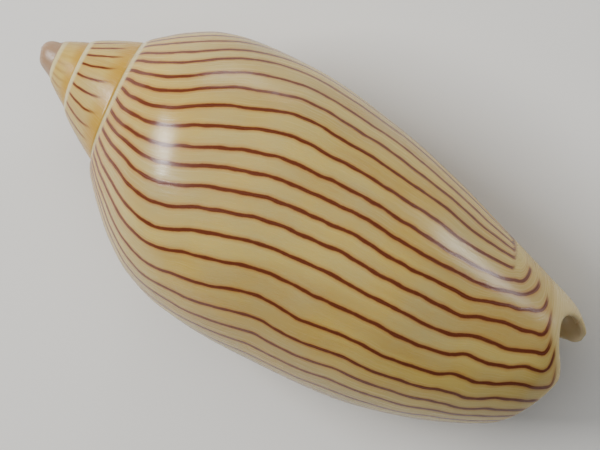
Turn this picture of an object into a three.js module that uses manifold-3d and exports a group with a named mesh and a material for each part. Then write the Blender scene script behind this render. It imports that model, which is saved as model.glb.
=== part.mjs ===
// A right-handed volute shell, in millimetres, lying on its opening with its back up.
// It grew as one piece, so it is one solid: a coiled outer surface with a coiled chamber cut out of it.
// The coiling axis runs along +X from the pointed end to the front end. A growth angle in degrees winds
// about that axis: 0 is the +Y side, 90 the back, 180 the side of the outer lip. Each turn adds 360.

import * as THREE from 'three';
import { mergeVertices } from 'three/addons/utils/BufferGeometryUtils.js';
import Module from 'manifold-3d';

const wasm = await Module();
wasm.setup();

// Driving dimensions

const lipAngle = 220;
const coiledTurns = 3.5;
const frontAlong = 93.5;
const apexAlong = 1.6;

// How far along the axis the suture lies, as [growth angle, distance]
const sutureLine = [
  [-1040, 1.7], [-900, 2.6], [-720, 4.1], [-540, 5.3], [-360, 7.4],
  [-180, 9.8], [0, 14.15], [75, 15.7], [110, 16.5], [150, 17.05], [180, 17.3], [220, 17.6],
];

// Radius of the spire at its sutures, as [distance along the axis, radius]
const spireLine = [
  [1.6, 0], [1.75, 0.75], [2.2, 1.45], [3.0, 2.05], [4.2, 2.6],
  [5.4, 3.25], [7.4, 4.45], [14, 8.5], [18, 10.8],
];
const spireBulge = 0.13;

// Half-widths of the last whorl on three sides, as [fraction of the way from suture to front, radius]
const lipSideLine = [
  [0, 10.2], [0.01, 12.0], [0.03, 13.6], [0.063, 15.9], [0.12, 19.3], [0.18, 21.8], [0.26, 23.3],
  [0.34, 23.6], [0.5, 22.7], [0.64, 21.2], [0.78, 17.9], [0.88, 14.2], [0.95, 10.6], [1, 7],
];
const farSideLine = [
  [0, 8.5], [0.01, 9.6], [0.03, 11.1], [0.063, 13.3], [0.12, 16.1], [0.18, 17.6], [0.26, 18.5],
  [0.34, 18.9], [0.5, 17.8], [0.64, 15.7], [0.78, 12.8], [0.88, 10.8], [0.95, 9.3], [1, 6.8],
];
const underSideLine = [
  [0, 6.7], [0.01, 7.3], [0.03, 8.3], [0.063, 9.8], [0.12, 12.2], [0.18, 13.7], [0.26, 14.3],
  [0.34, 13.9], [0.5, 11.6], [0.64, 8.6], [0.78, 6.0], [0.88, 4.9], [0.95, 4.3], [1, 3.6],
];
const farSide = 0;
const lipSide = 180;
const underSide = -135;
const shrinkPerDegree = 0.001;

// Lean of the lip and of every growth line, as [fraction from suture to front, degrees]
const leanLine = [[0, -8], [0.1, -2], [0.4, 2], [0.7, 0], [0.88, -8], [1, -22]];

// Front rim with its notch, as [angle about the axis, distance along the axis]
const rimLine = [
  [-150, 86.5], [-90, 88.2], [-60, 89.4], [-44, 90.8], [-34, 92.2], [-24, 93.3], [-16, 93.5],
  [4, 93.5], [16, 92.9], [26, 91.8], [35, 90.3], [43, 89.2], [51, 88.9], [62, 89.4], [75, 90.6],
  [90, 92.3], [105, 93.2], [125, 92.6], [150, 90.8], [180, 87.6], [220, 85.4],
];
const rimFraction = 0.95;
const frontSink = 7;

// The chamber inside: its wall, thicker near the lip, and the glaze left over the turn before
const wall = 1.3;
const lipWall = 1.6;
const lipWallAngle = 30;
const glaze = 0.15;
const narrowest = 0.3;
const chamberStart = -150;
const chamberOvershoot = 24;
const chamberTop = 0.035;
const chamberFrontLine = [[-150, 0.52], [-90, 0.62], [-40, 0.74], [0, 0.86], [50, 1.07]];

// The canal at the front, open to the notch
const canalFrom = 73;
const canalTo = 99;
const canalNose = 10;
const canalWall = 1.1;
const canalSeam = -150;
const canalRamp = 2;
const canalTip = 0.2;
const columellaSide = -42;
const columellaReach = 75;
const columellaWall = 1.6;
const mouthSide = -115;
const mouthReach = 55;
const mouthDepth = 4;

// Four oblique folds on the columella, by the place of each where the lip ends
const foldPlaces = [47, 53, 59.5, 66.5];
const foldRadius = 0.8;
const foldFrom = -104;
const foldTo = -262;
const foldSlope = 0.045;
const foldRise = 0.06;
const foldTaper = 1.2;
const foldEnd = 0.15;

// How the shell lies on its lip and belly, and how deep the flat spots it rests on are worn
const restRoll = -2.4;
const restPitch = 4.8;
const restWear = 0.15;
const groundDepth = 10;

// Mesh fineness
const columnsPerTurn = 48;
const bodyRows = 22;
const spireRows = 5;
const rowCrowding = 1.6;
const chamberPairs = 16;
const canalSteps = 14;
const canalSides = 36;
const foldSteps = 16;
const foldSides = 6;
const leanPasses = 3;
const weld = 1e-4;

// Smooth line through [x, y] points, level beyond its ends and never overshooting a point
function smoothLine(points) {
  const last = points.length - 1;
  const secant = (i) => (points[i + 1][1] - points[i][1]) / (points[i + 1][0] - points[i][0]);
  const slopes = points.map((point, i) => {
    if (i === 0) return secant(0);
    if (i === last) return secant(last - 1);
    const before = secant(i - 1);
    const after = secant(i);
    return before * after <= 0 ? 0 : (2 * before * after) / (before + after);
  });
  return (x) => {
    if (x <= points[0][0]) return points[0][1];
    if (x >= points[last][0]) return points[last][1];
    const i = points.findIndex((point) => point[0] > x) - 1;
    const width = points[i + 1][0] - points[i][0];
    const t = (x - points[i][0]) / width;
    const start = (1 + 2 * t) * (1 - t) ** 2 * points[i][1] + t * (1 - t) ** 2 * width * slopes[i];
    const end = t * t * (3 - 2 * t) * points[i + 1][1] - t * t * (1 - t) * width * slopes[i + 1];
    return start + end;
  };
}

const sutureAlong = smoothLine(sutureLine);
const spireRadius = smoothLine(spireLine);
const lipSideRadius = smoothLine(lipSideLine);
const farSideRadius = smoothLine(farSideLine);
const underSideRadius = smoothLine(underSideLine);
const lean = smoothLine(leanLine);
const rimAlong = smoothLine(rimLine);
const chamberFront = smoothLine(chamberFrontLine);

function pointAt(along, radius, angle) {
  const a = THREE.MathUtils.degToRad(angle);
  return new THREE.Vector3(along, radius * Math.cos(a), radius * Math.sin(a));
}

// Radius of the last whorl at a fraction of its height and an angle about the axis
function bodyRadius(fraction, angle) {
  const under = Math.log(underSideRadius(fraction));
  if (angle < underSide) {
    return Math.exp(under + shrinkPerDegree * (angle - underSide));
  }
  const far = Math.log(farSideRadius(fraction));
  const lip = Math.log(lipSideRadius(fraction));
  const riseFar = (far - under) / (farSide - underSide);
  const riseLip = (lip - far) / (lipSide - farSide);
  const bend = (riseLip - riseFar) / (lipSide - underSide);
  return Math.exp(under + riseFar * (angle - underSide) + bend * (angle - underSide) * (angle - farSide));
}

function alongAt(fraction, growth) {
  const top = sutureAlong(growth);
  return top + fraction * (frontAlong - top);
}

function fractionAt(along, growth) {
  const top = sutureAlong(growth);
  return (along - top) / (frontAlong - top);
}

// Radius of the coiled surface at a distance along the axis, for an angle that counts whole turns
function radiusAt(along, angle) {
  let fraction = fractionAt(along, angle);
  for (let pass = 0; pass < leanPasses; pass += 1) {
    fraction = fractionAt(along, angle - lean(fraction));
  }
  return bodyRadius(fraction, angle);
}

// Closed geometry from a list of points and triangles
function closedGeometry(points, triangles) {
  const geometry = new THREE.BufferGeometry().setFromPoints(points);
  geometry.setIndex(triangles.flat());
  return mergeVertices(geometry, weld);
}

// Solid through rings with equal numbers of points; each end is closed straight across its ring
function loft(rings) {
  const count = rings[0].length;
  const triangles = [];
  for (let i = 0; i + 1 < rings.length; i += 1) {
    for (let j = 0; j < count; j += 1) {
      const a = i * count + j;
      const b = i * count + ((j + 1) % count);
      triangles.push([a, b, b + count], [a, b + count, a + count]);
    }
  }
  const closeEnd = (first, flip) => {
    for (let j = 0; j + 1 < count / 2; j += 1) {
      const corners = [first + j, first + j + 1, first + count - 2 - j, first + count - 1 - j];
      const [a, b, c, d] = flip ? corners : corners.reverse();
      triangles.push([a, b, c], [a, c, d]);
    }
  };
  closeEnd(0, false);
  closeEnd((rings.length - 1) * count, true);
  return closedGeometry(rings.flat(), triangles);
}

// The outer solid: a spiral of strips for the spire, then the last whorl down to the front rim
function outerGeometry() {
  const points = [];
  const triangles = [];
  const addPoint = (point) => points.push(point) - 1;
  const step = 360 / columnsPerTurn;
  const lipColumn = columnsPerTurn * coiledTurns;
  const hiddenColumn = lipColumn - columnsPerTurn;
  const growthOf = (column) => lipAngle - (lipColumn - column) * step;

  const suturePoints = [];
  for (let i = 0; i <= lipColumn; i += 1) {
    const along = sutureAlong(growthOf(i));
    suturePoints.push(addPoint(pointAt(along, spireRadius(along), growthOf(i) + lean(0))));
  }

  // Rows of one column: the spire's strips end on the next suture, the last whorl's on the rim
  const columns = [];
  for (let i = 0; i <= lipColumn; i += 1) {
    const growth = growthOf(i);
    const rows = [suturePoints[i]];
    if (i <= hiddenColumn) {
      const top = sutureAlong(growth);
      const span = sutureAlong(growth + 360) - top;
      for (let j = 1; j < spireRows; j += 1) {
        const v = j / spireRows;
        const along = top + v * span;
        const radius = spireRadius(along) + spireBulge * span * Math.sqrt(v) * (1 - v);
        rows.push(addPoint(pointAt(along, radius, growth + lean(0))));
      }
      rows.push(suturePoints[i + columnsPerTurn]);
    }
    if (i >= hiddenColumn) {
      const frontFraction = fractionAt(rimAlong(growth + lean(rimFraction)), growth);
      for (let j = rows.length; j <= bodyRows; j += 1) {
        const fraction = frontFraction * (j / bodyRows) ** rowCrowding;
        const angle = growth + lean(fraction);
        rows.push(addPoint(pointAt(alongAt(fraction, growth), bodyRadius(fraction, angle), angle)));
      }
    }
    columns.push(rows);
  }
  for (let i = 0; i < lipColumn; i += 1) {
    const rowCount = i < hiddenColumn ? spireRows : bodyRows;
    for (let j = 0; j < rowCount; j += 1) {
      const [a, b, c, d] = [columns[i][j], columns[i + 1][j], columns[i + 1][j + 1], columns[i][j + 1]];
      triangles.push([a, b, c], [a, c, d]);
    }
  }

  // The pointed end, the face of the mouth and the front are closed with fans
  const apex = addPoint(pointAt(apexAlong, 0, 0));
  for (let i = 0; i < columnsPerTurn; i += 1) {
    triangles.push([apex, suturePoints[i + 1], suturePoints[i]]);
  }
  for (let j = 0; j < spireRows; j += 1) {
    triangles.push([apex, columns[0][j], columns[0][j + 1]]);
  }
  for (let j = 0; j < bodyRows; j += 1) {
    const inner = columns[hiddenColumn][Math.max(j, spireRows)];
    const innerNext = columns[hiddenColumn][Math.max(j + 1, spireRows)];
    const outer = columns[lipColumn][j];
    const outerNext = columns[lipColumn][j + 1];
    if (outer !== inner) triangles.push([outer, inner, outerNext]);
    if (inner !== innerNext) triangles.push([inner, innerNext, outerNext]);
  }
  const front = addPoint(pointAt(frontAlong - frontSink, 0, 0));
  for (let i = hiddenColumn; i < lipColumn; i += 1) {
    triangles.push([front, columns[i][bodyRows], columns[i + 1][bodyRows]]);
  }
  triangles.push([front, columns[lipColumn][bodyRows], columns[hiddenColumn][bodyRows]]);
  return closedGeometry(points, triangles);
}

// The chamber the animal lived in: it winds back from beyond the lip, between this turn and the one before
function chamberGeometry() {
  const sections = Math.round(((lipAngle + chamberOvershoot - chamberStart) / 360) * columnsPerTurn);
  const rings = [];
  for (let i = 0; i <= sections; i += 1) {
    const growth = chamberStart + (i / sections) * (lipAngle + chamberOvershoot - chamberStart);
    const outside = [];
    const inside = [];
    const thickness = growth > lipAngle - lipWallAngle ? lipWall : wall;
    for (let j = 0; j <= chamberPairs; j += 1) {
      const fraction = chamberTop + (j / chamberPairs) * (chamberFront(growth) - chamberTop);
      const along = alongAt(fraction, growth);
      const angle = growth + lean(fraction);
      const innerRadius = radiusAt(along, angle - 360) + glaze;
      const outerRadius = Math.max(bodyRadius(fraction, angle) - thickness, innerRadius + narrowest);
      outside.push(pointAt(along, outerRadius, angle));
      inside.push(pointAt(along, innerRadius, angle));
    }
    rings.push([...inside, ...outside.reverse()]);
  }
  return loft(rings);
}

// The canal: a hollow along the axis that leaves the columella as a tapering spoon beside the notch
function canalGeometry() {
  const rings = [];
  const nearness = (angle, centre, reach) => {
    const away = Math.abs(((angle - centre + 540) % 360) - 180);
    return THREE.MathUtils.smoothstep(reach - away, 0, reach);
  };
  for (let i = 0; i <= canalSteps; i += 1) {
    const along = canalFrom + (i / canalSteps) * (canalTo - canalFrom);
    const reached = Math.min(1, (along - canalFrom) / canalNose);
    const nose = Math.sqrt(1 - (1 - reached) ** 2);
    const ramp = THREE.MathUtils.smoothstep(along, canalFrom, frontAlong - canalRamp);
    const ring = [];
    for (let j = 0; j < canalSides; j += 1) {
      const angle = canalSeam + (j / canalSides) * 360;
      const columella = nearness(angle, columellaSide, columellaReach);
      const mouth = nearness(angle, mouthSide, mouthReach);
      const thickness = canalWall + (columellaWall - canalWall) * columella;
      const fullRadius = radiusAt(Math.min(along, frontAlong), angle) - thickness;
      const opened = nose + (ramp - nose) * columella;
      const radius = Math.max(canalTip, fullRadius * opened + mouth * mouthDepth * nose);
      ring.push(pointAt(along, radius, angle));
    }
    rings.push(ring);
  }
  return loft(rings);
}

// One fold: a tapering ridge that winds round the columella
function foldGeometry(place) {
  const rings = [];
  for (let i = 0; i <= foldSteps; i += 1) {
    const t = i / foldSteps;
    const angle = foldFrom + t * (foldTo - foldFrom);
    const along = place + foldSlope * (angle - underSide);
    const swell = Math.sqrt(Math.sin(Math.PI * Math.min(1, foldRise + foldTaper * t)));
    const thickness = foldRadius * Math.max(foldEnd, swell);
    const ring = [];
    for (let j = 0; j < foldSides; j += 1) {
      const a = (j / foldSides) * 2 * Math.PI;
      const radius = radiusAt(along, angle) + thickness * Math.sin(a);
      ring.push(pointAt(along - thickness * Math.cos(a), radius, angle));
    }
    rings.push(ring);
  }
  return loft(rings);
}

function toSolid(geometry) {
  const bare = geometry.clone();
  bare.deleteAttribute('normal');
  bare.deleteAttribute('uv');
  const merged = mergeVertices(bare, weld);
  const vertProperties = new Float32Array(merged.attributes.position.array);
  const triVerts = new Uint32Array(merged.index.array);
  return new wasm.Manifold(new wasm.Mesh({ numProp: 3, vertProperties, triVerts }));
}

function toGeometry(solid) {
  const mesh = solid.getMesh();
  const geometry = new THREE.BufferGeometry();
  geometry.setAttribute('position', new THREE.BufferAttribute(new Float32Array(mesh.vertProperties), 3));
  geometry.setIndex(new THREE.BufferAttribute(new Uint32Array(mesh.triVerts), 1));
  return geometry;
}

// The whole shell about its own axis
function shellSolid() {
  let solid = toSolid(outerGeometry()).subtract(toSolid(chamberGeometry()));
  for (const place of foldPlaces) {
    solid = solid.add(toSolid(foldGeometry(place)));
  }
  return solid.subtract(toSolid(canalGeometry()));
}

// The shell laid down: the middle of its box over the origin, the worn spots flat at height 0
function restingGeometry() {
  const turned = new THREE.Euler(
    THREE.MathUtils.degToRad(restRoll), THREE.MathUtils.degToRad(restPitch), 0, 'YXZ',
  );
  const geometry = toGeometry(shellSolid());
  geometry.applyMatrix4(new THREE.Matrix4().makeRotationFromEuler(turned));
  geometry.computeBoundingBox();
  const { min, max } = geometry.boundingBox;
  geometry.translate(-(min.x + max.x) / 2, -(min.y + max.y) / 2, -min.z - restWear);
  const ground = new THREE.BoxGeometry(2 * frontAlong, frontAlong, groundDepth);
  ground.translate(0, 0, -groundDepth / 2);
  return toGeometry(toSolid(geometry).subtract(toSolid(ground)));
}

const shellMaterial = new THREE.MeshStandardMaterial({ color: 0xdcc795, roughness: 0.3, metalness: 0 });

const shell = new THREE.Mesh(restingGeometry(), shellMaterial);
shell.name = 'shell';

const part = new THREE.Group();
part.add(shell);

export default part;
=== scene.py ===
import math

import bpy
import bmesh
import numpy as np
from mathutils import Matrix, Vector
from mathutils.kdtree import KDTree


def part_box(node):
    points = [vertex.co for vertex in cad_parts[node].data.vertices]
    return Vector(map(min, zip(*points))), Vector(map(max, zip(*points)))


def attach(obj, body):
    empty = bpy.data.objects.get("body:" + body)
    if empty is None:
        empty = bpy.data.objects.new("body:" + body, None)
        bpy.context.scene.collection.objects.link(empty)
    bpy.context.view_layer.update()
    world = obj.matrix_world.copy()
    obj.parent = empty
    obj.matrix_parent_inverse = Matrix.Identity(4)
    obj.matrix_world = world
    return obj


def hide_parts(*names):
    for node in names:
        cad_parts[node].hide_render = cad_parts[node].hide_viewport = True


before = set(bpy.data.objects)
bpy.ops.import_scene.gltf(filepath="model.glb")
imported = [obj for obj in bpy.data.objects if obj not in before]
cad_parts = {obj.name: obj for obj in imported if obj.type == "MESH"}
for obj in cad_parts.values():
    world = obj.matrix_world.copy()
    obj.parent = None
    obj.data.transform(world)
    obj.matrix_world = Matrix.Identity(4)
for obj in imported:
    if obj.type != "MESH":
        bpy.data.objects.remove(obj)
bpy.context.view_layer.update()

mm = 0.001

# A volute shell lying on its mouth. Its coiling axis runs from the spire to the front end, near +X.
# An angle in degrees winds about that axis: 0 the +Y side, 90 the back, 180 the side of the outer lip.
# Each earlier turn is 360 less. Lengths in the settings are millimetres, unless a note says otherwise.

shellShape = {
    "lipAngle": 220,                    # growth stops here, at the outer lip
    "turns": 3.5,
    "front": 93.5,                      # distances along the axis, from a point just before the spire
    "apex": 1.6,
    # distance along the axis of the suture at each growth angle
    "suture": [[-1040, 1.7], [-900, 2.6], [-720, 4.1], [-540, 5.3], [-360, 7.4],
               [-180, 9.8], [0, 14.15], [75, 15.7], [110, 16.5], [150, 17.05], [180, 17.3],
               [220, 17.6]],
    # radius of the spire at its sutures, by distance along the axis
    "spire": [[1.6, 0], [1.75, 0.75], [2.2, 1.45], [3.0, 2.05], [4.2, 2.6], [5.4, 3.25],
              [7.4, 4.45], [14, 8.5], [18, 10.8]],
    "spireBulge": 0.13,
    # radius of the last whorl on three sides, by the share of the way from its suture to the front
    "lipSide": [[0, 10.2], [0.01, 12.0], [0.03, 13.6], [0.063, 15.9], [0.12, 19.3], [0.18, 21.8],
                [0.26, 23.3], [0.34, 23.6], [0.5, 22.7], [0.64, 21.2], [0.78, 17.9], [0.88, 14.2],
                [0.95, 10.6], [1, 7]],
    "farSide": [[0, 8.5], [0.01, 9.6], [0.03, 11.1], [0.063, 13.3], [0.12, 16.1], [0.18, 17.6],
                [0.26, 18.5], [0.34, 18.9], [0.5, 17.8], [0.64, 15.7], [0.78, 12.8], [0.88, 10.8],
                [0.95, 9.3], [1, 6.8]],
    "underSide": [[0, 6.7], [0.01, 7.3], [0.03, 8.3], [0.063, 9.8], [0.12, 12.2], [0.18, 13.7],
                  [0.26, 14.3], [0.34, 13.9], [0.5, 11.6], [0.64, 8.6], [0.78, 6.0], [0.88, 4.9],
                  [0.95, 4.3], [1, 3.6]],
    "sideAngles": (-135, 0, 180),       # under side, far side, lip side
    "shrinkPerDegree": 0.001,           # the part hidden by the next turn tightens so much a degree
    # degrees that each line of growth leans, by the same share
    "lean": [[0, -8], [0.1, -2], [0.4, 2], [0.7, 0], [0.88, -8], [1, -22]],
    # distance along the axis of the front edge, by angle, with the notch near 50 degrees
    "rim": [[-150, 86.5], [-90, 88.2], [-60, 89.4], [-44, 90.8], [-34, 92.2], [-24, 93.3], [-16, 93.5],
            [4, 93.5], [16, 92.9], [26, 91.8], [35, 90.3], [43, 89.2], [51, 88.9], [62, 89.4], [75, 90.6],
            [90, 92.3], [105, 93.2], [125, 92.6], [150, 90.8], [180, 87.6], [220, 85.4]],
    "rimFraction": 0.95,                # the lean is taken here to find where a line meets the rim
    "frontSink": 7,                     # the closing point of the front lies this far behind it
    "restRoll": -2.4,
    "restPitch": 4.8,
}


def smoothLine(points):
    # smooth through the points, level beyond the ends, never overshooting
    xs, ys = np.array(points, float).T
    secants = np.diff(ys) / np.diff(xs)
    slopes = np.concatenate([secants[:1], np.zeros(len(xs) - 2), secants[-1:]])
    product = secants[:-1] * secants[1:]
    total = np.where(product > 0, secants[:-1] + secants[1:], 1)
    slopes[1:-1] = np.where(product > 0, 2 * product / total, 0)

    def at(x):
        x = np.clip(x, xs[0], xs[-1])
        i = np.clip(np.searchsorted(xs, x, side="right") - 1, 0, len(xs) - 2)
        width = xs[i + 1] - xs[i]
        t = (x - xs[i]) / width
        start = (1 + 2 * t) * (1 - t) ** 2 * ys[i] + t * (1 - t) ** 2 * width * slopes[i]
        end = t * t * (3 - 2 * t) * ys[i + 1] - t * t * (1 - t) * width * slopes[i + 1]
        return start + end
    return at


def smoothStep(x, low, high):
    t = np.clip((x - low) / (high - low), 0, 1)
    return t * t * (3 - 2 * t)


sutureAlong = smoothLine(shellShape["suture"])
spireRadius = smoothLine(shellShape["spire"])
lipSideRadius = smoothLine(shellShape["lipSide"])
farSideRadius = smoothLine(shellShape["farSide"])
underSideRadius = smoothLine(shellShape["underSide"])
lean = smoothLine(shellShape["lean"])
rimAlong = smoothLine(shellShape["rim"])


def pointAt(along, radius, angle):
    along, radius, angle = np.broadcast_arrays(along, radius, np.radians(angle))
    return np.stack([along, radius * np.cos(angle), radius * np.sin(angle)], -1)


def bodyRadius(fraction, angle):
    underAngle, farAngle, lipSideAngle = shellShape["sideAngles"]
    under = np.log(underSideRadius(fraction))
    far = np.log(farSideRadius(fraction))
    lip = np.log(lipSideRadius(fraction))
    riseFar = (far - under) / (farAngle - underAngle)
    riseLip = (lip - far) / (lipSideAngle - farAngle)
    bend = (riseLip - riseFar) / (lipSideAngle - underAngle)
    past = angle - underAngle
    wound = under + riseFar * past + bend * past * (angle - farAngle)
    hidden = under + shellShape["shrinkPerDegree"] * past
    return np.exp(np.where(angle < underAngle, hidden, wound))


def alongAt(fraction, growth):
    top = sutureAlong(growth)
    return top + fraction * (shellShape["front"] - top)


def fractionAt(along, growth):
    top = sutureAlong(growth)
    return (along - top) / (shellShape["front"] - top)


def fractionOnWhorl(along, angle):
    fraction = fractionAt(along, angle)
    for _ in range(3):
        fraction = fractionAt(along, angle - lean(fraction))
    return fraction


def radiusAt(along, angle):
    return bodyRadius(fractionOnWhorl(along, angle), angle)


# Mesh helpers

def gridFaces(ids, flip=False):
    a, b, c, d = ids[:-1, :-1], ids[1:, :-1], ids[1:, 1:], ids[:-1, 1:]
    order = (a, d, c, b) if flip else (a, b, c, d)
    return np.stack([corner.ravel() for corner in order], 1).tolist()


def makeObject(name, points, faces):
    mesh = bpy.data.meshes.new(name)
    tidy = []
    for face in faces:
        corners = [v for i, v in enumerate(face) if v != face[i - 1]]
        if len(set(corners)) > 2:
            tidy.append(corners)
    mesh.from_pydata(np.asarray(points).tolist(), [], tidy)
    mesh.validate()
    piece = bpy.data.objects.new(name, mesh)
    bpy.context.scene.collection.objects.link(piece)
    return piece


def loft(name, rings):
    # rings of equal length, closed straight across at both ends
    rings = np.asarray(rings)
    steps, count = rings.shape[:2]
    ids = np.arange(steps * count).reshape(steps, count)
    faces = gridFaces(np.concatenate([ids, ids[:, :1]], 1), flip=True)
    half = count // 2
    for ring, turnOver in ((ids[0], False), (ids[-1], True)):
        ladder = np.stack([ring[:half], ring[::-1][:half]], 1)
        faces += gridFaces(ladder, flip=turnOver)
    piece = makeObject(name, rings.reshape(-1, 3), faces)
    work = bmesh.new()
    work.from_mesh(piece.data)
    bmesh.ops.recalc_face_normals(work, faces=work.faces)
    work.to_mesh(piece.data)
    work.free()
    return piece


def joinOrCut(target, tool, operation):
    step = target.modifiers.new(operation.lower(), "BOOLEAN")
    step.object = tool
    step.operation = operation
    step.solver = "MANIFOLD"
    bpy.context.view_layer.update()
    result = bpy.data.meshes.new_from_object(target.evaluated_get(bpy.context.evaluated_depsgraph_get()))
    target.modifiers.clear()
    target.data = result
    bpy.data.objects.remove(tool)


# Outer surface

surfaceGrid = {
    "columnStep": 1.5,                  # degrees
    "lipStep": 0.5,                     # finer over the last few degrees before the lip
    "lipReach": 6,
    # relative sizes of the steps from one end of a row to the other
    "rowSteps": [[0, 0.12], [0.12, 0.3], [0.3, 0.62], [0.9, 0.62], [1, 0.2]],
    "bodyRows": 165,
    "mouthSteps": [[0, 0.16], [0.25, 0.2], [1, 1.0]],
    "mouthRows": 24,
    "rimSteps": [[0, 0.14], [0.5, 0.3], [1, 2.0]],
    "rimRings": 16,
    "stripBlend": 90,                   # degrees over which the spire swells into the last whorl
}


def spread(stepLine, count):
    sizes = smoothLine(stepLine)((np.arange(count) + 0.5) / count)
    return np.concatenate([[0], np.cumsum(sizes)]) / sizes.sum()


def outerSurface():
    grid = surfaceGrid
    lipAngle = shellShape["lipAngle"]
    offsets = np.concatenate([np.arange(-360, -grid["lipReach"], grid["columnStep"]),
                              np.arange(-grid["lipReach"], 0, grid["lipStep"])])
    perTurn = len(offsets)
    growth = np.concatenate([lipAngle + offsets - 360 * k for k in (3, 2, 1, 0)] + [[lipAngle]])
    growth = growth[growth > lipAngle - 360 * shellShape["turns"] - 0.1]
    last = len(growth) - 1
    hidden = last - perTurn
    rows = grid["bodyRows"]
    share = spread(grid["rowSteps"], rows)
    lipTop = sutureAlong(lipAngle)
    spireRows = int(np.searchsorted(share, fractionAt(lipTop, growth[hidden])))

    suture = sutureAlong(growth)
    points = [pointAt(suture, spireRadius(suture), growth + lean(0))]
    used = last + 1

    def addGrid(block):
        nonlocal used
        points.append(block.reshape(-1, 3))
        ids = np.arange(used, used + block.shape[0] * block.shape[1]).reshape(block.shape[:2])
        used += ids.size
        return ids

    # the spire: one strip for each turn, from its own suture to the next
    stripGrowth = growth[:hidden + 1, None]
    v = (share[:spireRows + 1] / share[spireRows])[None, 1:-1]
    span = sutureAlong(stripGrowth + 360) - sutureAlong(stripGrowth)
    along = sutureAlong(stripGrowth) + v * span
    radius = spireRadius(along) + shellShape["spireBulge"] * span * np.sqrt(v) * (1 - v)
    angle = stripGrowth + lean(0)
    late = smoothStep(stripGrowth, growth[hidden] - grid["stripBlend"], growth[hidden]) * (1 - v ** 4)
    radius = radius + late * (bodyRadius(fractionAt(along, stripGrowth), angle) - radius)
    inner = addGrid(pointAt(along, radius, angle))
    columns = np.arange(hidden + 1)
    strip = np.concatenate([columns[:, None], inner, columns[:, None] + perTurn], 1)
    faces = gridFaces(strip)

    # the last whorl, down to the rim
    wholeGrowth = growth[hidden:, None]
    rimAngle = wholeGrowth + lean(shellShape["rimFraction"])
    reach = fractionAt(rimAlong(rimAngle), wholeGrowth)
    fraction = reach * share[None, 1:]
    angle = wholeGrowth + lean(fraction)
    block = pointAt(alongAt(fraction, wholeGrowth), bodyRadius(fraction, angle), angle)
    newIds = addGrid(block)
    body = np.concatenate([np.arange(hidden, last + 1)[:, None], newIds], 1)
    body[0, :spireRows + 1] = strip[hidden]
    faces += gridFaces(body)

    # pointed end
    apex = addGrid(pointAt([[shellShape["apex"]]], 0, 0))[0, 0]
    faces += [[apex, i + 1, i] for i in range(perTurn)]
    faces += [[apex, strip[0, j], strip[0, j + 1]] for j in range(spireRows)]

    # the face of the mouth, from the lip's edge inward
    allPoints = np.concatenate(points)
    outerIds = body[-1]
    innerIds = body[0].copy()
    innerIds[:spireRows + 1] = strip[hidden, -1]
    t = spread(grid["mouthSteps"], grid["mouthRows"])[None, 1:-1, None]
    across = allPoints[outerIds][:, None] * (1 - t) + allPoints[innerIds][:, None] * t
    face = np.concatenate([outerIds[:, None], addGrid(across), innerIds[:, None]], 1)
    face[0, :] = outerIds[0]
    faces += gridFaces(face, flip=True)

    # the front, from the rim inward
    allPoints = np.concatenate(points)
    rimIds = body[:, -1]
    centre = pointAt(shellShape["front"] - shellShape["frontSink"], 0, 0)
    t = spread(grid["rimSteps"], grid["rimRings"])[None, 1:-1, None]
    rings = addGrid(allPoints[rimIds][:, None] * (1 - t) + centre * t)
    middle = addGrid(centre[None, None])[0, 0]
    cap = np.concatenate([rimIds[:, None], rings, np.full((len(rimIds), 1), middle)], 1)
    faces += gridFaces(cap)
    faces.append(face[-1].tolist() + cap[0, 1:].tolist() + cap[-1, 1:-1][::-1].tolist())
    return makeObject("voluteShell", np.concatenate(points), faces)


# The hollow inside

hollow = {
    "wall": 1.3,
    "lipWall": 1.6,
    "lipWallAngles": (40, 10),          # the wall thickens between these angles before the lip
    "glaze": 0.15,                      # thickness added to the whorl inside
    "narrowest": 0.3,
    "start": -150,
    "overshoot": 24,                    # degrees past the lip, to cut it open
    "top": 0.035,
    # how far the hollow reaches to the front, by growth angle
    "front": [[-150, 0.52], [-90, 0.62], [-40, 0.74], [0, 0.86], [50, 1.07]],
    "step": 2,
    "pairs": 64,
    "canalFrom": 73,
    "canalTo": 99,
    "canalNose": 10,
    "canalSeam": -150,
    "canalWall": 1.1,
    "canalRamp": 2,
    "canalTip": 0.2,
    "columellaSide": -42,
    "columellaReach": 75,
    "columellaWall": 1.6,
    "mouthSide": -115,
    "mouthReach": 55,
    "mouthDepth": 4,
    "canalSteps": 52,
    "canalSides": 144,
}


def chamber():
    lipAngle = shellShape["lipAngle"]
    growth = np.arange(hollow["start"], lipAngle + hollow["overshoot"] + 0.1, hollow["step"])[:, None]
    front = smoothLine(hollow["front"])(growth)
    t = np.linspace(0, 1, hollow["pairs"] + 1)[None]
    fraction = hollow["top"] + t * (front - hollow["top"])
    along = alongAt(fraction, growth)
    angle = growth + lean(fraction)
    begin, end = hollow["lipWallAngles"]
    nearLip = smoothStep(growth, lipAngle - begin, lipAngle - end)
    thickness = hollow["wall"] + (hollow["lipWall"] - hollow["wall"]) * nearLip
    inside = radiusAt(along, angle - 360) + hollow["glaze"]
    outside = np.maximum(bodyRadius(fraction, angle) - thickness, inside + hollow["narrowest"])
    rings = np.concatenate([pointAt(along, inside, angle), pointAt(along, outside, angle)[:, ::-1]], 1)
    return loft("chamber", rings)


def nearness(angle, centre, reach):
    away = np.abs((angle - centre + 540) % 360 - 180)
    return smoothStep(reach - away, 0, reach)


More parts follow.
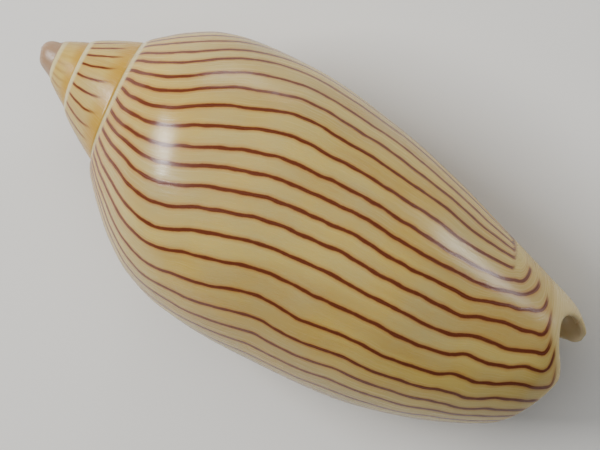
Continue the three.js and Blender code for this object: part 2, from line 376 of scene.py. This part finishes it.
def canal():
    angle = hollow["canalSeam"] + np.arange(hollow["canalSides"])[None] / hollow["canalSides"] * 360
    along = np.linspace(hollow["canalFrom"], hollow["canalTo"], hollow["canalSteps"] + 1)[:, None]
    columella = nearness(angle, hollow["columellaSide"], hollow["columellaReach"])
    mouth = nearness(angle, hollow["mouthSide"], hollow["mouthReach"])
    wallHere = hollow["canalWall"] + (hollow["columellaWall"] - hollow["canalWall"]) * columella
    full = radiusAt(np.minimum(along, shellShape["front"]), angle) - wallHere
    nose = np.sqrt(1 - (1 - np.minimum(1, (along - hollow["canalFrom"]) / hollow["canalNose"])) ** 2)
    ramp = smoothStep(along, hollow["canalFrom"], shellShape["front"] - hollow["canalRamp"])
    opened = nose + (ramp - nose) * columella
    radius = np.maximum(hollow["canalTip"], full * opened + mouth * hollow["mouthDepth"] * nose)
    return loft("canal", pointAt(along, radius, angle))


# The folds on the columella: four ridges that wind into the mouth

folds = {
    "places": (47, 53, 59.5, 66.5),
    "radius": 0.8,
    "from": -104,
    "to": -262,
    "slope": 0.045,                     # mm along the axis for each degree
    "rise": 0.06,
    "taper": 1.2,
    "end": 0.15,
    "steps": 70,
    "sides": 16,
}


def fold(place):
    t = np.linspace(0, 1, folds["steps"] + 1)[:, None]
    angle = folds["from"] + t * (folds["to"] - folds["from"])
    along = place + folds["slope"] * (angle - shellShape["sideAngles"][0])
    swell = np.sqrt(np.sin(np.pi * np.minimum(1, folds["rise"] + t * folds["taper"])).clip(0, 1))
    thickness = folds["radius"] * np.maximum(folds["end"], swell)
    around = np.arange(folds["sides"])[None] / folds["sides"] * 2 * np.pi
    radius = radiusAt(along, angle) + thickness * np.sin(around)
    return loft("fold", pointAt(along - thickness * np.cos(around), radius, angle))


print("building the shell")
shell = outerSurface()
joinOrCut(shell, chamber(), "DIFFERENCE")
print("chamber cut", len(shell.data.polygons))
for place in folds["places"]:
    joinOrCut(shell, fold(place), "UNION")
joinOrCut(shell, canal(), "DIFFERENCE")
print("folds and canal done", len(shell.data.polygons))

# Rounding of the lip, the rim and the feet of the folds: points near a hard edge are drawn
# to the middle of their neighbours

rounding = {
    "edgeAngle": 32,
    "reach": 1.1,
    "passes": 20,
    "strength": 0.5,
    "keepBehind": 18.5,                 # sutures nearer the spire than this stay crisp
    "weld": 0.001,
}


def roundEdges(piece):
    mesh = piece.data
    work = bmesh.new()
    work.from_mesh(mesh)
    bmesh.ops.remove_doubles(work, verts=work.verts, dist=rounding["weld"])
    bmesh.ops.dissolve_degenerate(work, edges=work.edges, dist=rounding["weld"])
    bmesh.ops.triangulate(work, faces=work.faces)
    bmesh.ops.delete(work, geom=[v for v in work.verts if not v.link_faces], context="VERTS")
    work.verts.index_update()
    work.normal_update()
    hard = set()
    limit = math.radians(rounding["edgeAngle"])
    for edge in work.edges:
        if len(edge.link_faces) == 2 and edge.calc_face_angle(0) > limit:
            if min(v.co.x for v in edge.verts) > rounding["keepBehind"]:
                hard.update(v.index for v in edge.verts)
    work.verts.ensure_lookup_table()
    tree = KDTree(len(hard))
    for index in hard:
        tree.insert(work.verts[index].co, index)
    tree.balance()
    points = np.array([v.co for v in work.verts])
    edges = np.array([[v.index for v in e.verts] for e in work.edges])
    distance = np.array([tree.find(v.co)[2] for v in work.verts])
    weight = rounding["strength"] * (1 - smoothStep(distance, 0, rounding["reach"]))
    for _ in range(rounding["passes"]):
        total = np.zeros_like(points)
        count = np.zeros(len(points))
        for one, other in ((0, 1), (1, 0)):
            np.add.at(total, edges[:, one], points[edges[:, other]])
            np.add.at(count, edges[:, one], 1)
        points += (total / count[:, None] - points) * weight[:, None]
    for v, point in zip(work.verts, points):
        v.co = point
    work.to_mesh(mesh)
    work.free()
    print("rounded", len(hard), "hard points, faces", len(mesh.polygons))


roundEdges(shell)

# Pattern

linePattern = {
    # where each line crosses the ring 50 mm along, as angles about the axis: all but the first are the
    # output of a script that traced the lines in the photograph
    "places": (17.5, 26.5, 37, 45.8, 54.8, 64.5, 74.2, 82.2, 90.2, 98.2, 107.2, 116.8, 127.8, 138.8,
               148.2, 157, 166.5),
    "gap": 10.3,                        # degrees between the lines before and after these
    "gapJitter": 0.14,
    "linesBefore": 60,
    "linesAfter": 11,
    # six courses, named by their angle at that ring: how far they stray from it, as [mm along the axis,
    # degrees]. About a third of the points are that script's output, the others were set by hand
    "guides": {
        30: [[15, 31], [17, 31.5], [19, 33], [22, 31.6], [25, 27.2], [28, 20.2], [31, 13.4], [34, 8.3],
             [38, 3.6], [43, 2], [50, 0], [58, -2], [66, -0.6], [72, -2], [78, -7]],
        58: [[17, 29.5], [19, 32], [22, 31], [25, 28.2], [28, 23.4], [31, 18], [34, 12.8], [37, 8.6],
             [41, 4.2], [46, 1.4], [54, 0], [62, -2.2], [70, -3.4], [74, -5.8], [78, -10.8],
             [80, -16], [82, -23]],
        86: [[19, 27.5], [22, 25.8], [27, 23.4], [31, 19.3], [34, 14.4], [38, 8.8], [43, 3.8], [50, 0],
             [58, -2.4], [66, -3.5], [72, -6], [78, -10.5], [80, -14.3], [82, -17.5], [84, -22]],
        107: [[20, 27.5], [22, 25.6], [29, 23.2], [32, 21.6], [35, 16.6], [38, 11], [43, 5.6], [50, 0],
              [58, -2], [72, -3], [76, -5.2], [79, -8.9], [83, -10.6], [88, -18.9]],
        128: [[20, 20], [23, 18.8], [28, 20.6], [32, 19.9], [36, 15.8], [43, 8.2], [50, 0], [57, -0.3],
              [63, -2.6], [70, -2.3], [76, -3], [80, -6.8], [85, -10.2], [91, -17]],
        150: [[22, 7.5], [28, 12.5], [32, 15], [36, 12.8], [43, 7.3], [50, 0], [53, -2], [58, -2.2],
              [65, -5.5], [76, -4.4], [84, -6.5], [90, -11]],
    },
    "guidePasses": 8,
    # towards the notch the lines turn to run along the rim: [mm along the axis, the line that is there]
    "hooks": [[80.6, 55], [82.6, 74.2], [84.5, 82.2], [86.2, 90.2], [87.2, 98.2], [88, 107.2],
              [88.9, 116.8], [89.7, 127.8]],
    "hooksBegin": (75, 80),
    "hookLean": 0.07,                   # mm along the axis for each degree
    "hookMiddle": 60,
    "hooksOff": (0, 30),                # degrees below level over which the hooks end
    "hookLeast": 5,                     # below this angle the turn keeps its distance along the axis
    "hookRound": 8,
    "hookFade": (12, 22),               # degrees past the turn where a hook pales and ends
    "hookFirst": 69,                    # lines before this one stop short of the notch
    "hookStop": 79.5,
    "stopBlur": (0.3, 2),               # half the length of that fade, and what the underside adds
    "stopLater": 2,
    "paleFront": 87.4,                  # the pale band round the notch begins here, up to this angle
    "paleAngle": 82,
    "paleAngleFade": 14,
    "paleBlur": (0.5, 1.6),
    "underAngles": (-10, 40),           # degrees below level over which the underside's changes set in
    "sutureLift": 0.5,                  # degrees that a line bends back as it meets the suture
    "sutureReach": 2.2,
    "waves": ((23, 0.14), (12, 0.15), (7, 0.08), (4.2, 0.05), (2.6, 0.04)),     # (length, degrees)
    "wavesEach": 3,
    "waveTurn": 45,
    "rougher": 2.2,                     # waves grow by this towards the front end of the back
    "rougherAlong": (72, 81),
    "rougherPlaces": (75, 95),
    "edgeFade": (0.3, 1.1),             # distance from the rim over which the lines fade out
    "spireGap": 15.5,                   # degrees between the spire's lines
    "spireBend": 13,
    "spireThin": 0.62,
    "spireFade": (0.58, 0.9),           # share of the way down a spire whorl
    "firstInk": (-690, -400),           # growth angles between which the lines set in
    "orangeBand": (0.55, 0.9),
    "orangeDepth": 0.75,
    "tipFade": (-800, -620),
    "insideDepth": (0.55, 1.0),         # this far under the outer surface the inside begins
    "insideFrom": 16,
    "arcRadius": 18,                    # turns angles into mm round the shell, for the noises
    "seed": 7,
}


def strayLines(along, angle):
    # smooth seeded waviness shared by neighbouring lines, in degrees
    chance = np.random.default_rng(linePattern["seed"])
    total = np.zeros_like(along)
    for length, size in linePattern["waves"]:
        for _ in range(linePattern["wavesEach"]):
            phase = chance.uniform(0, 2 * np.pi)
            slant = chance.uniform(-1, 1) / linePattern["waveTurn"]
            total += size * np.sin(2 * np.pi * (along / length + angle * slant) + phase)
    return total


def linePlace(along, angle, below):
    # for each point: the line through it, by its angle at 50 mm, then how far forward the point is
    # on the slanting front, and whether a hook has ended there
    pattern = linePattern
    guidePlaces = np.array(sorted(pattern["guides"]), float)
    strays = np.stack([smoothLine(pattern["guides"][place])(along) for place in guidePlaces])
    lift = pattern["sutureLift"] * (1 - np.clip(below / pattern["sutureReach"], 0, 1)) ** 2
    place = angle.copy()
    for _ in range(pattern["guidePasses"]):
        k = np.clip(np.searchsorted(guidePlaces, place) - 1, 0, len(guidePlaces) - 2)
        t = np.clip((place - guidePlaces[k]) / (guidePlaces[k + 1] - guidePlaces[k]), 0, 1)
        one = np.take_along_axis(strays, k[None], 0)[0]
        other = np.take_along_axis(strays, k[None] + 1, 0)[0]
        place = 0.5 * place + 0.5 * (angle - one - t * (other - one) + lift)
    towardsFront = smoothStep(along, *pattern["rougherAlong"])
    onBack = smoothStep(place, *pattern["rougherPlaces"])
    place = place + strayLines(along, place) * (1 + pattern["rougher"] * towardsFront * onBack)
    leaning = np.maximum(angle, pattern["hookLeast"]) - pattern["hookMiddle"]
    front = along - pattern["hookLean"] * leaning
    notHere = 1 - smoothStep(front, *pattern["hooksBegin"]) + smoothStep(-angle, *pattern["hooksOff"])
    hooks = smoothLine(pattern["hooks"])(front) - 720 * notHere     # two turns back, out of reach
    apart = (place - hooks) / pattern["hookRound"]
    past = smoothStep(hooks - place, *pattern["hookFade"])
    return hooks + pattern["hookRound"] * np.logaddexp(0, apart), front, past


def outerCoordinates(points, faces):
    # for each corner of each face: distance along the axis, unwound angle and distance from the axis
    lipAngle = shellShape["lipAngle"]
    middles = points[faces].mean(1)
    flat = np.degrees(np.arctan2(middles[:, 2], middles[:, 1]))
    found = np.full(len(faces), np.nan)
    for k in (1, 0, -1, -2, -3, -4):
        angle = flat + 360 * k
        fraction = fractionOnWhorl(middles[:, 0], angle)
        growth = angle - lean(np.maximum(fraction, 0))
        fits = (growth <= lipAngle + 0.3) & (middles[:, 0] >= sutureAlong(growth)) & np.isnan(found)
        found[fits] = angle[fits]
    found = np.where(np.isnan(found), flat - 360 * 3, found)
    corners = points[faces]
    cornerFlat = np.degrees(np.arctan2(corners[..., 2], corners[..., 1]))
    turned = (cornerFlat - found[:, None] + 540) % 360 - 180
    return corners[..., 0], found[:, None] + turned, np.hypot(corners[..., 1], corners[..., 2])


def gradient(points, faces, values):
    # how fast a value changes over the surface, evened out over the faces that share a point
    corners = points[faces]
    sideOne = corners[:, 1] - corners[:, 0]
    sideTwo = corners[:, 2] - corners[:, 0]
    normal = np.cross(sideOne, sideTwo)
    area = np.maximum((normal ** 2).sum(1, keepdims=True), 1e-12)
    stepOne = values[:, 1:2] - values[:, :1]
    stepTwo = values[:, 2:] - values[:, :1]
    slope = (np.cross(sideTwo, normal) * stepOne + np.cross(normal, sideOne) * stepTwo) / area
    size = np.minimum(np.linalg.norm(slope, axis=1), 3)
    weight = np.sqrt(area[:, 0])
    total = np.zeros(len(points))
    share = np.zeros(len(points))
    for corner in range(3):
        np.add.at(total, faces[:, corner], size * weight)
        np.add.at(share, faces[:, corner], weight)
    return (total / np.maximum(share, 1e-9))[faces]


def paintAttributes(piece):
    mesh = piece.data
    points = np.empty(len(mesh.vertices) * 3)
    mesh.vertices.foreach_get("co", points)
    points = points.reshape(-1, 3)
    faces = np.empty(len(mesh.polygons) * 3, int)
    mesh.polygons.foreach_get("vertices", faces)
    faces = faces.reshape(-1, 3)
    pattern = linePattern
    along, angle, radius = outerCoordinates(points, faces)
    fraction = np.maximum(fractionOnWhorl(along, angle), 0)
    growth = angle - lean(fraction)
    below = along - sutureAlong(growth)
    nextSuture = sutureAlong(growth + 360) - along
    onSpire = growth < shellShape["lipAngle"] - 360
    outerRadius = np.where(onSpire, spireRadius(along), bodyRadius(fraction, angle))
    inside = smoothStep(outerRadius - radius, *pattern["insideDepth"]) * (along > pattern["insideFrom"])

    # the lines counted round the shell, so that each one falls on a whole number
    place, front, past = linePlace(along, angle, below)
    chance = np.random.default_rng(pattern["seed"] + 1)
    places = np.array(pattern["places"], float)
    before = places[0] - pattern["gap"] * np.arange(pattern["linesBefore"], 0, -1)
    after = places[-1] + pattern["gap"] * np.arange(1, pattern["linesAfter"] + 1)
    for part in (before, after):
        part += chance.uniform(-1, 1, len(part)) * pattern["gapJitter"] * pattern["gap"]
    allPlaces = np.concatenate([before, places, after])
    count = np.interp(place, allPlaces, np.arange(len(allPlaces)))
    height = below / np.maximum(below + nextSuture, 0.01)
    spirePlace = angle + 360 + pattern["spireBend"] * height ** 2 + strayLines(along * 2, angle)
    count = np.where(onSpire, spirePlace / pattern["spireGap"], count)
    perMm = gradient(points, faces, count) * np.where(onSpire, pattern["spireThin"], 1)

    # where the lines end: at the pale front, short of the notch, past their hooks and at the rim
    underneath = smoothStep(-angle, *pattern["underAngles"])
    atNotch = smoothStep(pattern["paleAngle"] - angle, 0, pattern["paleAngleFade"])
    least, more = pattern["paleBlur"]
    paleBlur = least + more * underneath
    pale = smoothStep(front, pattern["paleFront"] - paleBlur, pattern["paleFront"] + paleBlur) * atNotch
    least, more = pattern["stopBlur"]
    stopBlur = least + more * underneath
    stopAt = pattern["hookStop"] + pattern["stopLater"] * underneath
    beforeHooks = smoothStep(pattern["hookFirst"] - place, -1, 1)
    stopped = beforeHooks * smoothStep(front, stopAt - stopBlur, stopAt + stopBlur)
    edgeFade = smoothStep(rimAlong(angle) - along, *pattern["edgeFade"])
    spireFade = 1 - smoothStep(height, *pattern["spireFade"]) * onSpire
    early = smoothStep(growth, *pattern["firstInk"])
    ink = (1 - pale) * (1 - stopped) * (1 - past) * edgeFade * spireFade * early * (1 - inside)
    orange = pattern["orangeDepth"] * onSpire * smoothStep(height, *pattern["orangeBand"])
    layers = {
        "lineCount": count,
        "linesPerMm": perMm,
        "ink": ink,
        "inside": inside,
        "below": below,
        "orange": orange,
        "tip": 1 - smoothStep(growth, *pattern["tipFade"]),
        "pale": np.maximum(pale, 1 - edgeFade) * (1 - onSpire),
        "arc": np.radians(place) * pattern["arcRadius"],
        "along": along,
    }
    for name, values in layers.items():
        layer = mesh.attributes.new(name, "FLOAT", "CORNER")
        layer.data.foreach_set("value", np.ascontiguousarray(values.ravel(), dtype=np.float32))


paintAttributes(shell)
print("pattern laid out")


# Laying the shell down where the solid lies

def restingPlace():
    # turned as the solid is, its box centred on the solid's box, its back at the same height
    roll = Matrix.Rotation(math.radians(shellShape["restRoll"]), 3, "X")
    pitch = Matrix.Rotation(math.radians(shellShape["restPitch"]), 3, "Y")
    turn = np.array(pitch @ roll)
    low, high = (np.array(corner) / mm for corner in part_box("shell"))
    mesh = shell.data
    points = np.empty(len(mesh.vertices) * 3)
    mesh.vertices.foreach_get("co", points)
    points = points.reshape(-1, 3) @ turn.T
    lowest, highest = points.min(0), points.max(0)
    shift = (low + high) / 2 - (lowest + highest) / 2
    shift[2] = high[2] - highest[2]
    points = (points + shift) * mm
    points[:, 2] = np.maximum(points[:, 2], 0)
    mesh.vertices.foreach_set("co", points.ravel())
    mesh.update()
    return turn, shift


turn, shift = restingPlace()


def toPart(point):
    return Vector(((np.array(point) @ turn.T) + shift) * mm)


def directionToPart(direction):
    return Vector(np.array(direction) @ turn.T).normalized()


for polygon in shell.data.polygons:
    polygon.use_smooth = True


# Materials

def linear(hexColour):
    parts = [int(hexColour[i:i + 2], 16) / 255 for i in (0, 2, 4)]
    return [c / 12.92 if c <= 0.04045 else ((c + 0.055) / 1.055) ** 2.4 for c in parts] + [1]


def addNode(tree, kind, settings=None, inputs=None):
    node = tree.nodes.new(kind)
    for name, value in (settings or {}).items():
        setattr(node, name, value)
    for name, value in (inputs or {}).items():
        if isinstance(value, bpy.types.NodeSocket):
            tree.links.new(value, node.inputs[name])
        else:
            node.inputs[name].default_value = value
    return node


shellFinish = {
    "cream": "C5AA59",
    "tan": "B4954D",
    "grey": "AA9F76",
    "yellow": "BD9232",
    "orange": "B08424",
    "lineHalo": "A2642A",
    "line": "632F19",
    "callus": "C9BA88",
    "tip": "9A7D62",
    "pale": "C4AE76",
    "inside": "D6C190",
    "bandStretch": (0.22, 0.03, 1),     # per mm round the shell, per mm along it: bands 4.5 mm apart
    "cloudScale": 90.0,                 # per metre: clouds of 11 mm
    "cloudDepth": 0.5,
    "shoulderReach": 6.0,               # the yellower shoulder ends this far from the suture
    "shoulderDepth": 0.22,
    "growthStretch": (2.8, 0.12, 1),    # growth lines 0.35 mm apart
    "growthHeight": 0.0002,             # metres, as the bump node takes it
    "lineWidth": 0.56,
    "lineLeast": 0.45,                  # share of that width that the wavering leaves
    "lineBlur": (0.09, -0.07),
    "haloReach": 0.5,
    "haloDepth": 0.6,
    "wobbleScale": 0.55,                # per mm: the width wavers every 2 mm
    "callusWidth": (0.85, 0.5),
    "callusDepth": 0.9,
    "roughness": 0.24,
    "smootherBy": 0.05,
    "rougherBy": 0.08,
}


def glossyShell():
    # Polished aragonite, laid down by the animal's mantle. To the eye: a hard gloss over a cream ground
    # that light enters a little, with thin red-brown lines under the gloss.
    finish = shellFinish
    material = bpy.data.materials.new("polishedAragonite")
    material.use_nodes = True
    tree = material.node_tree
    tree.nodes.clear()
    painted = {}
    for name in ("lineCount", "linesPerMm", "ink", "inside", "below", "orange", "tip", "pale", "arc",
                 "along"):
        painted[name] = addNode(tree, "ShaderNodeAttribute", {"attribute_name": name}).outputs["Fac"]
    place = addNode(tree, "ShaderNodeCombineXYZ",
                    inputs={"X": painted["arc"], "Y": painted["along"]}).outputs[0]
    body = addNode(tree, "ShaderNodeTexCoord").outputs["Object"]

    # slow bands of growth, softer clouds across them and a yellower shoulder
    bandPlace = addNode(tree, "ShaderNodeVectorMath", {"operation": "MULTIPLY"},
                        {0: place, 1: finish["bandStretch"]}).outputs[0]
    bandNoise = addNode(tree, "ShaderNodeTexNoise",
                        inputs={"Vector": bandPlace, "Scale": 1.0, "Detail": 3.0, "Roughness": 0.55})
    bands = addNode(tree, "ShaderNodeMapRange",
                    inputs={"Value": bandNoise.outputs["Fac"], "From Min": 0.38, "From Max": 0.62})
    cloudNoise = addNode(tree, "ShaderNodeTexNoise",
                         inputs={"Vector": body, "Scale": finish["cloudScale"], "Detail": 4.0,
                                 "Roughness": 0.6})
    clouds = addNode(tree, "ShaderNodeMapRange",
                     inputs={"Value": cloudNoise.outputs["Fac"], "From Min": 0.35, "From Max": 0.7,
                             "To Max": finish["cloudDepth"]})
    shoulder = addNode(tree, "ShaderNodeMapRange",
                       inputs={"Value": painted["below"], "From Min": finish["shoulderReach"],
                               "From Max": finish["callusWidth"][1], "To Max": finish["shoulderDepth"]})

    # the lines: how far each place is from the nearest one, in mm, against a width that wavers
    nearest = addNode(tree, "ShaderNodeMath", {"operation": "ROUND"}, {0: painted["lineCount"]})
    apart = addNode(tree, "ShaderNodeMath", {"operation": "SUBTRACT"},
                    {0: painted["lineCount"], 1: nearest.outputs[0]})
    size = addNode(tree, "ShaderNodeMath", {"operation": "ABSOLUTE"}, {0: apart.outputs[0]})
    away = addNode(tree, "ShaderNodeMath", {"operation": "DIVIDE"},
                   {0: size.outputs[0], 1: painted["linesPerMm"]})
    wobble = addNode(tree, "ShaderNodeTexNoise",
                     inputs={"Vector": place, "Scale": finish["wobbleScale"], "Detail": 3.0})
    half = finish["lineWidth"] / 2
    halfWidth = addNode(tree, "ShaderNodeMath", {"operation": "MULTIPLY_ADD"},
                        {0: wobble.outputs["Fac"], 1: half, 2: half * finish["lineLeast"]})
    edge = addNode(tree, "ShaderNodeMath", {"operation": "SUBTRACT"},
                   {0: away.outputs[0], 1: halfWidth.outputs[0]})
    outer, inner = finish["lineBlur"]
    core = addNode(tree, "ShaderNodeMapRange",
                   inputs={"Value": edge.outputs[0], "From Min": outer, "From Max": inner})
    halo = addNode(tree, "ShaderNodeMapRange",
                   inputs={"Value": edge.outputs[0], "From Min": finish["haloReach"], "From Max": 0.0,
                           "To Max": finish["haloDepth"]})
    inkedCore = addNode(tree, "ShaderNodeMath", {"operation": "MULTIPLY"},
                        {0: core.outputs[0], 1: painted["ink"]})
    inkedHalo = addNode(tree, "ShaderNodeMath", {"operation": "MULTIPLY"},
                        {0: halo.outputs[0], 1: painted["ink"]})

    # whitish glaze that seals the suture
    outer, inner = finish["callusWidth"]
    callus = addNode(tree, "ShaderNodeMapRange",
                     inputs={"Value": painted["below"], "From Min": outer, "From Max": inner,
                             "To Max": finish["callusDepth"]})

    # every colour is laid over the ones before it
    ground = linear(finish["cream"])
    for colour, amount in (("tan", bands.outputs[0]), ("grey", clouds.outputs[0]),
                           ("yellow", shoulder.outputs[0]), ("orange", painted["orange"]),
                           ("pale", painted["pale"]), ("lineHalo", inkedHalo.outputs[0]),
                           ("line", inkedCore.outputs[0]), ("callus", callus.outputs[0]),
                           ("tip", painted["tip"]), ("inside", painted["inside"])):
        ground = addNode(tree, "ShaderNodeMix", {"data_type": "RGBA"},
                         {0: amount, 6: ground, 7: linear(finish[colour])}).outputs[2]

    # fine growth lines, felt more than seen
    growthPlace = addNode(tree, "ShaderNodeVectorMath", {"operation": "MULTIPLY"},
                          {0: place, 1: finish["growthStretch"]}).outputs[0]
    growthNoise = addNode(tree, "ShaderNodeTexNoise",
                          inputs={"Vector": growthPlace, "Scale": 1.0, "Detail": 5.0, "Roughness": 0.6})
    growthLines = growthNoise.outputs["Fac"]
    bump = addNode(tree, "ShaderNodeBump",
                   inputs={"Strength": 0.12, "Distance": finish["growthHeight"], "Height": growthLines})
    roughness = addNode(tree, "ShaderNodeMapRange",
                        inputs={"Value": growthLines, "From Min": 0.3, "From Max": 0.7,
                                "To Min": finish["roughness"] - finish["smootherBy"],
                                "To Max": finish["roughness"] + finish["rougherBy"]})
    shader = addNode(tree, "ShaderNodeBsdfPrincipled", inputs={
        "Base Color": ground, "Roughness": roughness.outputs[0], "IOR": 1.45, "Normal": bump.outputs[0],
        "Subsurface Weight": 0.08, "Subsurface Radius": (0.004, 0.002, 0.001), "Subsurface Scale": 1.0,
    })
    addNode(tree, "ShaderNodeOutputMaterial", inputs={"Surface": shader.outputs[0]})
    return material


shell.data.materials.clear()
shell.data.materials.append(glossyShell())
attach(shell, "root")
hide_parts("shell")

# Floor, light and camera

stage = {
    "floorSize": 3.0,                   # metres
    "floorColour": "DEDCD7",
    "floorRoughness": 0.9,
    "worldColour": "C8CDD2",
    "worldStrength": 0.2,
}


def paleFloor():
    size = stage["floorSize"] / 2
    corners = [(-size, -size, 0), (size, -size, 0), (size, size, 0), (-size, size, 0)]
    floor = makeObject("floor", corners, [(0, 1, 2, 3)])
    material = bpy.data.materials.new("matPaper")       # plain paper: no gloss, so the shadow shows
    material.use_nodes = True
    shader = material.node_tree.nodes["Principled BSDF"]
    shader.inputs["Base Color"].default_value = linear(stage["floorColour"])
    shader.inputs["Roughness"].default_value = stage["floorRoughness"]
    floor.data.materials.append(material)


paleFloor()

# The photograph: 600 by 450 pixels, the coiling axis through one pixel and sloping down to the right

photoView = {
    "widthPixels": 600,
    "heightPixels": 450,
    "axisStart": (32, 42),
    "axisSlope": 32,
    "mmPerPixel": 0.15,
    "tilt": 4,                          # the spire lies a little further away than the front end
    "lens": 150,
    "sensor": 36,
    "clip": (0.01, 20),                 # metres
}


def photoFrame():
    slope = math.radians(photoView["axisSlope"])
    tilt = math.radians(photoView["tilt"])
    toCamera = np.array([math.sin(tilt), 0, math.cos(tilt)])
    along = np.array([math.cos(tilt), 0, -math.sin(tilt)])
    across = np.cross(toCamera, along)
    right = math.cos(slope) * along + math.sin(slope) * across
    up = -math.sin(slope) * along + math.cos(slope) * across
    return toCamera, along, across, right, up


def placeCamera():
    toCamera, along, across, right, up = photoFrame()
    slope = math.radians(photoView["axisSlope"])
    offX = photoView["widthPixels"] / 2 - photoView["axisStart"][0]
    offY = photoView["heightPixels"] / 2 - photoView["axisStart"][1]
    forward = (offX * math.cos(slope) + offY * math.sin(slope)) * photoView["mmPerPixel"]
    aside = (offX * math.sin(slope) - offY * math.cos(slope)) * photoView["mmPerPixel"]
    centre = along * forward + across * aside
    width = photoView["widthPixels"] * photoView["mmPerPixel"]
    distance = photoView["lens"] * width / photoView["sensor"]
    cameraData = bpy.data.cameras.new("camera")
    camera = bpy.data.objects.new("camera", cameraData)
    bpy.context.scene.collection.objects.link(camera)
    cameraData.lens = photoView["lens"]
    cameraData.sensor_width = photoView["sensor"]
    cameraData.clip_start, cameraData.clip_end = photoView["clip"]
    placed = Matrix([directionToPart(v) for v in (right, up, toCamera)]).transposed().to_4x4()
    placed.translation = toPart(centre + toCamera * distance)
    camera.matrix_world = placed
    bpy.context.scene.camera = camera


placeCamera()

# Soft boxes. Directions are (right, up, towards the camera) as the picture shows them, powers in watts.
lights = {
    "window": {"towards": (-0.8, 0.26, 0.55), "away": 650, "size": (110, 400), "power": 5},
    "secondWindow": {"towards": (0.8, 0.47, 0.37), "away": 700, "size": (170, 150), "power": 1.3},
    "backStrip": {"towards": (0.05, 0.97, 0.1), "away": 600, "size": (330, 50), "power": 0.7},
    "overhead": {"towards": (-0.25, 0.3, 0.95), "away": 1100, "size": (1300, 1300), "power": 7,
                 "inGloss": False},     # lights the floor and the ground colour, no veil on the gloss
}
lightsAim = (46, 0, 0)                  # the middle of the shell's axis


def placeLights():
    toCamera, _, _, right, up = photoFrame()
    middle = toPart(lightsAim)
    for name, light in lights.items():
        lamp = bpy.data.lights.new(name, "AREA")
        lamp.shape = "RECTANGLE"
        lamp.size, lamp.size_y = (side * mm for side in light["size"])
        lamp.energy = light["power"]
        piece = bpy.data.objects.new(name, lamp)
        bpy.context.scene.collection.objects.link(piece)
        x, y, z = light["towards"]
        away = directionToPart(right * x + up * y + toCamera * z)
        side = directionToPart(up).cross(away).normalized()
        placed = Matrix([side, away.cross(side), away]).transposed().to_4x4()
        placed.translation = middle + away * light["away"] * mm
        piece.matrix_world = placed
        piece.visible_glossy = light.get("inGloss", True)


def placeWorld():
    world = bpy.data.worlds.new("studio")
    world.use_nodes = True
    background = world.node_tree.nodes["Background"]
    background.inputs[0].default_value = linear(stage["worldColour"])
    background.inputs[1].default_value = stage["worldStrength"]
    bpy.context.scene.world = world


placeLights()
placeWorld()
print("floor, camera and lights placed")
